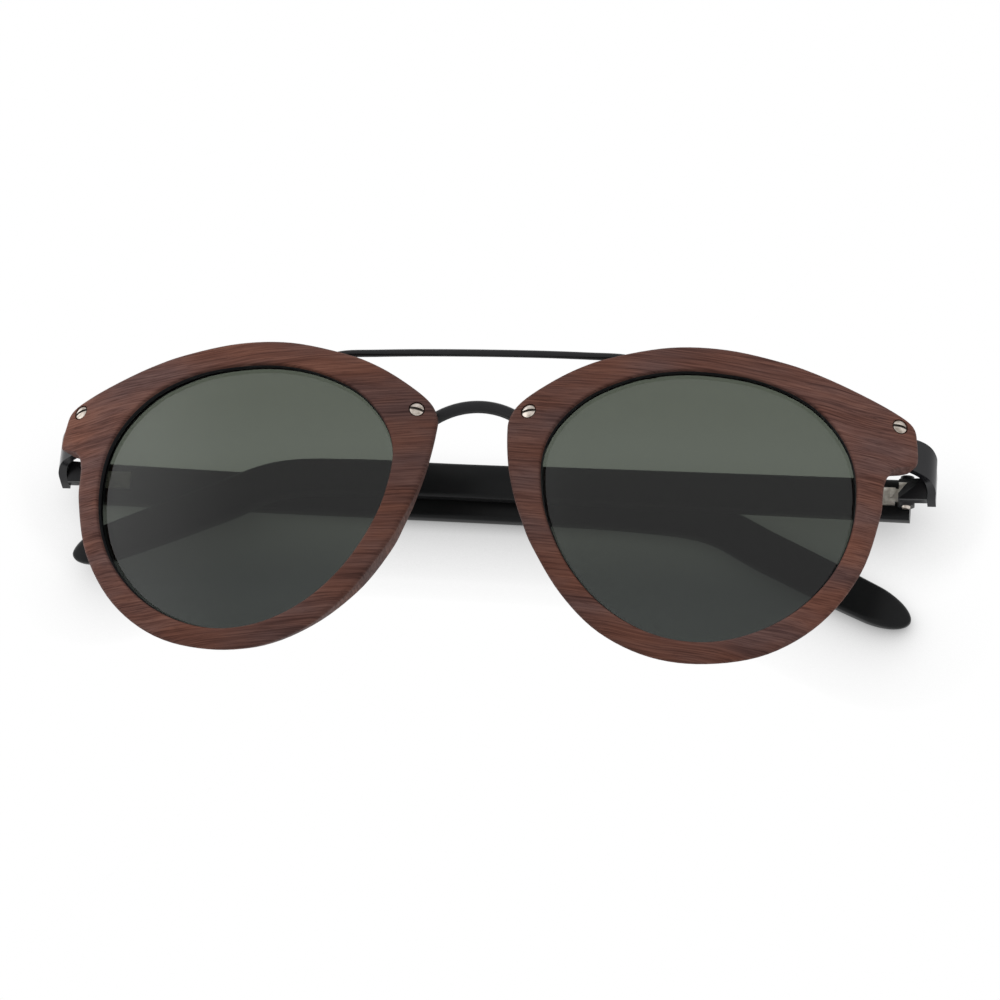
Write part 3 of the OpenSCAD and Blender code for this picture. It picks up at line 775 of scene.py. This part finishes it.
def screwTree():
    tree = bpy.data.node_groups.new("slottedScrews", "GeometryNodeTree")
    face = tree.interface
    face.new_socket("Geometry", in_out="INPUT", socket_type="NodeSocketGeometry")
    for key in ("Head Radius", "Proud", "Sink", "Slot Width", "Slot Depth", "Crown Radius"):
        face.new_socket(key, in_out="INPUT", socket_type="NodeSocketFloat")
    for key in ("Steel", "Dark Slot"):
        face.new_socket(key, in_out="INPUT", socket_type="NodeSocketMaterial")
    face.new_socket("Geometry", in_out="OUTPUT", socket_type="NodeSocketGeometry")
    graph = Graph(tree)
    graph.node("NodeGroupInput")
    given = {s.name: Val(tree, s) for s in graph.last.outputs if s.name}
    proud, sink = given["Proud"], given["Sink"]
    barrel = graph.node("GeometryNodeMeshCylinder", Vertices=48, Radius=given["Head Radius"], Depth=sink + proud)
    barrelAt = graph.node("ShaderNodeCombineXYZ", Z=(proud - sink) * 0.5)
    barrel = graph.node("GeometryNodeTransform", Geometry=barrel, Translation=barrelAt)
    ball = graph.node("GeometryNodeMeshUVSphere", Segments=64, Rings=48, Radius=given["Crown Radius"])
    ballAt = graph.node("ShaderNodeCombineXYZ", Z=proud - given["Crown Radius"])
    ball = graph.node("GeometryNodeTransform", Geometry=ball, Translation=ballAt)
    head = graph.node("GeometryNodeMeshBoolean", {"operation": "INTERSECT", "solver": "EXACT"}, i1=barrel)
    tree.links.new(ball.socket, graph.last.inputs[1])
    slotSize = graph.node("ShaderNodeCombineXYZ", X=given["Head Radius"] * 3.0, Y=given["Slot Width"],
                          Z=given["Slot Depth"] * 2.0)
    blade = graph.node("GeometryNodeMeshCube", Size=slotSize)
    bladeAt = graph.node("ShaderNodeCombineXYZ", Z=proud)
    blade = graph.node("GeometryNodeTransform", Geometry=blade, Translation=bladeAt)
    slotted = graph.node("GeometryNodeMeshBoolean", {"operation": "DIFFERENCE", "solver": "EXACT"},
                         i0=head, i1=blade)
    spot = graph.node("GeometryNodeInputPosition")
    graph.node("ShaderNodeSeparateXYZ", Vector=spot)
    fromSlot = Val(tree, graph.last.outputs["Y"]).math("ABSOLUTE", 0.0)
    inSlot = given["Slot Width"] * 0.51 > fromSlot
    slotted = graph.node("GeometryNodeStoreNamedAttribute", {"data_type": "BOOLEAN", "domain": "FACE"},
                         Geometry=slotted, Name="inSlot", Value=inSlot)
    facing = graph.node("GeometryNodeInputNamedAttribute", {"data_type": "FLOAT_VECTOR"}, Name="facing")
    spin = graph.node("GeometryNodeInputNamedAttribute", {"data_type": "FLOAT"}, Name="spin")
    spun = graph.node("ShaderNodeCombineXYZ", Z=spin)
    turned = graph.node("FunctionNodeAlignRotationToVector", {"axis": "Z"}, Vector=facing)
    turned = graph.node("FunctionNodeRotateRotation", {"rotation_space": "LOCAL"}, Rotation=turned, RotateBy=spun)
    share = graph.node("GeometryNodeInputNamedAttribute", {"data_type": "FLOAT"}, Name="share")
    made = graph.node("GeometryNodeInstanceOnPoints", Points=given["Geometry"], Instance=slotted, Rotation=turned,
                      Scale=share)
    made = graph.node("GeometryNodeRealizeInstances", Geometry=made)
    made = graph.node("GeometryNodeSetMaterial", Geometry=made, Material=given["Steel"])
    # painted shade: the faces inside the slot take the dark slot colour
    dark = graph.node("GeometryNodeInputNamedAttribute", {"data_type": "BOOLEAN"}, Name="inSlot")
    made = graph.node("GeometryNodeSetMaterial", Geometry=made, Selection=dark, Material=given["Dark Slot"])
    graph.node("NodeGroupOutput")
    tree.links.new(made.socket, graph.last.inputs[0])
    return tree


def makeScrews():
    nose, lobe, bar = rimSizes["noseScrew"], rimSizes["lobeScrew"], barSizes["tabAt"]
    rear = -bridgeSizes["behind"] - bridgeSizes["tabT"]
    spots = [(sideName, spot, depth, spin, share) for spot, depth, spins, share in (
        (nose, 0, "noseSpin", 1), (lobe, 0, "lobeSpin", 1), (bar, rear, "barSpin", screwSizes["barShare"]))
        for sideName, spin in zip(sides, screwSizes[spins])]
    mesh = bpy.data.meshes.new("screwSeatPoints")
    places, facings = [], []
    for sideName, spot, depth, _, _ in spots:
        seat = onRim(sides[sideName]) @ Matrix.Translation(dome(*spot)) @ domeTilt(*spot)
        places.append(seat @ Vector((0, 0, depth)) * mm)
        facings.append((seat.to_3x3() @ Vector((0, 0, -1 if depth else 1))).normalized())
    mesh.from_pydata(places, [], [])
    for key, kind in (("facing", "FLOAT_VECTOR"), ("spin", "FLOAT"), ("share", "FLOAT")):
        mesh.attributes.new(key, kind, "POINT")
    for i, (_, _, _, degrees, share) in enumerate(spots):
        mesh.attributes["facing"].data[i].vector = facings[i]
        mesh.attributes["spin"].data[i].value = math.radians(degrees)
        mesh.attributes["share"].data[i].value = share
    screws = bpy.data.objects.new("slottedScrews", mesh)
    bpy.context.scene.collection.objects.link(screws)
    tree = screwTree()
    modifier = screws.modifiers.new("screws", "NODES")
    modifier.node_group = tree
    wanted = {"Head Radius": screwSizes["headD"] / 2 * mm, "Proud": screwSizes["proud"] * mm,
              "Sink": screwSizes["sink"] * mm, "Slot Width": screwSizes["slotW"] * mm,
              "Slot Depth": screwSizes["slotDepth"] * mm, "Crown Radius": screwSizes["crownR"] * mm,
              "Steel": finishes["steel"], "Dark Slot": paintedSlotShade}
    for item in tree.interface.items_tree:
        if item.in_out == "INPUT" and item.name in wanted:
            modifier[item.identifier] = wanted[item.name]
    graph = bpy.context.evaluated_depsgraph_get()
    plain = bpy.data.meshes.new_from_object(screws.evaluated_get(graph))
    screws.modifiers.clear()
    screws.data = plain
    plain.shade_smooth()
    plain.set_sharp_from_angle(angle=math.radians(30))
    replaced = [key + "_screw_" + sideName for key in ("nose", "lobe", "bar") for sideName in sides]
    stand(screws, "front", "steel", *replaced)


makeScrews()
print("screws made")

# floor, light and camera
stageLook = dict(floorSize=3.0, floorWhite=0.9, touch=0.014, shade=0.95, shadow=0.08, lightFrom=(-0.1, 0.62, 0.77),
                 worldLight=0.5, window=0.8, windowX=(-0.4, -0.9))


def seenRay(graph):
    graph.node("ShaderNodeLightPath")
    seen = [Val(graph.tree, graph.last.outputs[key]) for key in
            ("Is Camera Ray", "Is Glossy Ray", "Is Transmission Ray")]
    return seen[0].math("MAXIMUM", seen[1]).math("MAXIMUM", seen[2])


def makeStage():
    bm = bmesh.new()
    half = stageLook["floorSize"] / 2
    bm.faces.new([bm.verts.new((x * half, y * half, 0)) for x, y in ((-1, -1), (1, -1), (1, 1), (-1, 1))])
    white = stageLook["floorWhite"]
    material, graph, shader = newMaterial("paleFloor", BaseColor=(white, white, white, 1), Roughness=0.9)
    upLight = graph.node("ShaderNodeCombineXYZ", **dict(zip("XYZ", stageLook["lightFrom"])))
    clearness = graph.node("ShaderNodeAmbientOcclusion", {"samples": 16}, out="AO", Distance=stageLook["touch"],
                           Normal=upLight)
    shade = (1 - clearness) * stageLook["shade"]            # darkest where the object touches the floor
    grey = stageLook["shadow"]
    dark = graph.node("ShaderNodeEmission", Color=(grey, grey, grey, 1))
    clear = graph.node("ShaderNodeBsdfTransparent")
    seen = graph.node("ShaderNodeMixShader", i0=shade, i1=clear, i2=dark)       # clear, so open temples show
    mix = graph.node("ShaderNodeMixShader", i0=seenRay(graph), i1=Val(graph.tree, shader.outputs[0]), i2=seen)
    graph.tree.links.new(mix.socket, graph.tree.nodes["Material Output"].inputs["Surface"])
    finishMesh("floor", bm, material, recalc=False)


def makeSky():
    world = bpy.data.worlds.new("studio")
    bpy.context.scene.world = world
    world.use_nodes = True
    sky = Graph(world.node_tree)
    seen = seenRay(sky)
    level = stageLook["worldLight"]
    sky.node("ShaderNodeLightPath")
    mirrored = Val(sky.tree, sky.last.outputs["Is Glossy Ray"])
    sky.node("ShaderNodeSeparateXYZ", Vector=sky.node("ShaderNodeTexCoord", out="Generated"))
    sideways = Val(sky.tree, sky.last.outputs["X"])
    low, high = stageLook["windowX"]                                        # a soft window at the left
    window = sky.node("ShaderNodeMapRange", {"interpolation_type": "SMOOTHSTEP"}, Value=sideways,
                      FromMin=low, FromMax=high)
    strength = level + seen * (1 - level) + mirrored * window * stageLook["window"]
    background = world.node_tree.nodes["Background"]
    plug(sky.tree, strength, background.inputs["Strength"])
    background.inputs["Color"].default_value = (1, 1, 1, 1)


lamps = [dict(name="softKey", at=(-0.48, 0.46, 0.78), size=0.7, watts=4.7),
         dict(name="softFill", at=(0.6, 0.1, 0.7), size=0.8, watts=1.8)]


def makeLamps():
    for s in lamps:
        light = bpy.data.lights.new(s["name"], "AREA")
        light.size, light.energy = s["size"], s["watts"]
        lamp = bpy.data.objects.new(s["name"], light)
        lamp.location = s["at"]
        lamp.visible_glossy = lamp.visible_transmission = False             # no lamp shapes in the lenses
        lamp.visible_camera = False
        lamp.rotation_euler = (-Vector(s["at"])).to_track_quat("-Z", "Y").to_euler()
        bpy.context.scene.collection.objects.link(lamp)


cameraLook = dict(at=(0.11019, -0.18715, 0.59069), turn=(18.808, 8.946, 4.777), lens=133.04, sensor=36.0,
                  clip=(0.01, 20.0))


def makeCamera():
    data = bpy.data.cameras.new("photoView")
    data.lens, data.sensor_width = cameraLook["lens"], cameraLook["sensor"]
    data.clip_start, data.clip_end = cameraLook["clip"]
    camera = bpy.data.objects.new("photoView", data)
    camera.location = cameraLook["at"]
    camera.rotation_euler = [math.radians(v) for v in cameraLook["turn"]]
    bpy.context.scene.collection.objects.link(camera)
    bpy.context.scene.camera = camera


makeStage()
makeSky()
makeLamps()
makeCamera()
bpy.context.scene.view_settings.view_transform = "Standard"
print("stage set")
